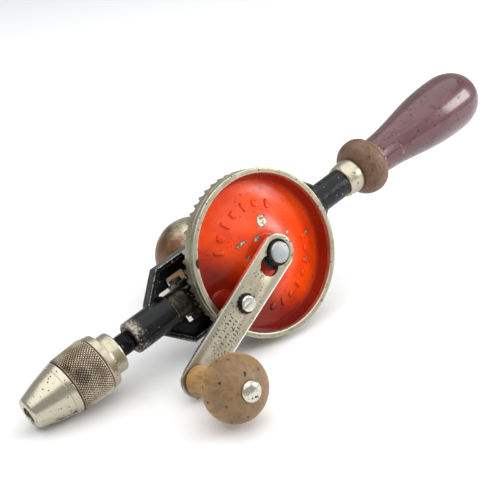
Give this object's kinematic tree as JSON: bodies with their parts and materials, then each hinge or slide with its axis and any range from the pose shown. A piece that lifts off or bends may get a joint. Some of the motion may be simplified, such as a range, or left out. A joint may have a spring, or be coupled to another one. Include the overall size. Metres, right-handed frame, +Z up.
{
  "type": "hand drill",
  "caption": "Hand-cranked drill with a dished drive wheel, crank and knob, side knob, turned wooden handle and keyless jaw chuck.",
  "frame": {"origin": "on the spindle axis between the tips of the chuck's jaws", "axes": "+Z up with the drill lying on a bench on its wheel rim, side knob and chuck; +X from the chuck towards the main handle; the crank is on the -Y side"},
  "size_m": [0.3329, 0.1592, 0.0963],
  "materials": {
    "black_enamel": "glossy black enamel, chipped to bare metal at the edges",
    "red_enamel": "orange-red enamel in the dish, plated rim",
    "maroon_paint": "maroon paint over turned wood, bare bead",
    "knob_wood": "bare, hand-worn wood",
    "nickel": "worn, pitted nickel plate",
    "worn_nickel": "nickel plate worn through to copper",
    "knurled_nickel": "knurled nickel plate with rust in the grooves",
    "dark_steel": "dark oiled steel",
    "grey_steel": "machined steel",
    "bronze": "sintered bronze"
  },
  "bodies": {
    "frame": {"frame_casting": "black_enamel", "front_bush": "bronze", "rear_bush": "bronze", "thrust_race": "grey_steel", "front_washer": "bronze", "axle_stud": "grey_steel", "axle_washer": "grey_steel", "side_knob": "worn_nickel", "side_knob_stud": "grey_steel", "side_knob_washer": "grey_steel", "main_handle": "maroon_paint", "handle_ferrule": "nickel"},
    "wheel": {"drive_wheel": "red_enamel", "hub_bush": "bronze", "crank_arm": "nickel", "arm_screw": "nickel", "lock_washer": "dark_steel", "knob_rivet": "nickel", "knob_washer": "dark_steel"},
    "knob": {"crank_knob": "knob_wood"},
    "spindle": {"spindle": "dark_steel", "pinion": "grey_steel", "pinion_pin": "grey_steel", "chuck_body": "nickel", "chuck_collar": "nickel"},
    "bearing": {"thrust_balls": "grey_steel", "ball_cage": "bronze"},
    "sleeve": {"chuck_sleeve": "knurled_nickel", "jaw_nut": "grey_steel"},
    "jaw_1": {"jaw_1": "grey_steel"},
    "jaw_2": {"jaw_2": "grey_steel"},
    "jaw_3": {"jaw_3": "grey_steel"}
  },
  "joints": [
    {"name": "wheel_spin", "type": "hinge", "parent": "frame", "child": "wheel", "pos_m": [0.13581, 0, 0.0296], "axis": [0.0649, 0.9525, -0.2975], "continuous": true},
    {"name": "spindle_spin", "type": "hinge", "parent": "frame", "child": "spindle", "pos_m": [0.07719, 0, 0.01682], "axis": [-0.9771, 0, -0.213], "continuous": true},
    {"name": "bearing_spin", "type": "hinge", "parent": "frame", "child": "bearing", "pos_m": [0.09868, 0, 0.02151], "axis": [-0.9771, 0, -0.213], "continuous": true},
    {"name": "knob_spin", "type": "hinge", "parent": "wheel", "child": "knob", "pos_m": [0.06887, -0.03679, -0.00193], "axis": [-0.0649, -0.9525, 0.2975], "continuous": true},
    {"name": "sleeve_turn", "type": "hinge", "parent": "spindle", "child": "sleeve", "pos_m": [0.02833, 0, 0.00618], "axis": [-0.9771, 0, -0.213], "range_deg": [-899, 1259]},
    {"name": "jaw_1_slide", "type": "slide", "parent": "spindle", "child": "jaw_1", "axis": [-0.9735, -0.1654, -0.1581], "range_m": [-0.005, 0.007]},
    {"name": "jaw_2_slide", "type": "slide", "parent": "spindle", "child": "jaw_2", "axis": [-0.9871, 0.1285, -0.0956], "range_m": [-0.005, 0.007]},
    {"name": "jaw_3_slide", "type": "slide", "parent": "spindle", "child": "jaw_3", "axis": [-0.9261, 0.0369, -0.3755], "range_m": [-0.005, 0.007]}
  ],
  "couplings": [
    {"joint": "spindle_spin", "follows": "wheel_spin", "ratio": 4},
    {"joint": "bearing_spin", "follows": "wheel_spin", "ratio": 2},
    {"joint": "jaw_1_slide", "follows": "sleeve_turn", "m_per_rad": 0.00031831},
    {"joint": "jaw_2_slide", "follows": "sleeve_turn", "m_per_rad": 0.00031831},
    {"joint": "jaw_3_slide", "follows": "sleeve_turn", "m_per_rad": 0.00031831}
  ]
}
